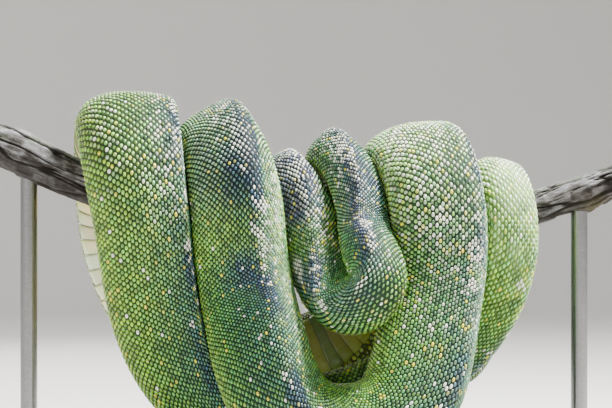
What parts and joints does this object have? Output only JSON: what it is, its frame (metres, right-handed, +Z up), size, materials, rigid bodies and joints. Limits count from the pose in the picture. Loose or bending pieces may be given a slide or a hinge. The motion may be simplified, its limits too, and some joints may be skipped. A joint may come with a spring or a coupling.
{
  "type": "coiled green tree python model",
  "caption": "Life-size still model of a green tree python coiled over a cut length of branch, on a plain display stand",
  "frame": {"origin": "centre of the stand's footprint, on the floor", "axes": "X along the branch and to the right seen from the front, front looks along -Y, Z up"},
  "size_m": [0.3, 0.18, 0.1866],
  "materials": {
    "python_skin": "fine dry scales with a soft sheen",
    "eye": "glossy",
    "branch_bark": "weathered grey wood with open cracks",
    "stand_board": "satin dark stain",
    "stand_metal": "satin"
  },
  "bodies": {
    "root": {"head": "python_skin", "neck": "python_skin", "trunk_01": "python_skin", "trunk_02": "python_skin", "trunk_03": "python_skin", "trunk_04": "python_skin", "trunk_05": "python_skin", "trunk_06": "python_skin", "trunk_07": "python_skin", "trunk_08": "python_skin", "trunk_09": "python_skin", "trunk_10": "python_skin", "trunk_11": "python_skin", "trunk_12": "python_skin", "trunk_13": "python_skin", "tail_root": "python_skin", "tail_tip": "python_skin", "eye_left": "eye", "eye_right": "eye", "perch_branch": "branch_bark", "stand_base": "stand_board", "stand_rod_left": "stand_metal", "stand_rod_right": "stand_metal"}
  },
  "joints": []
}
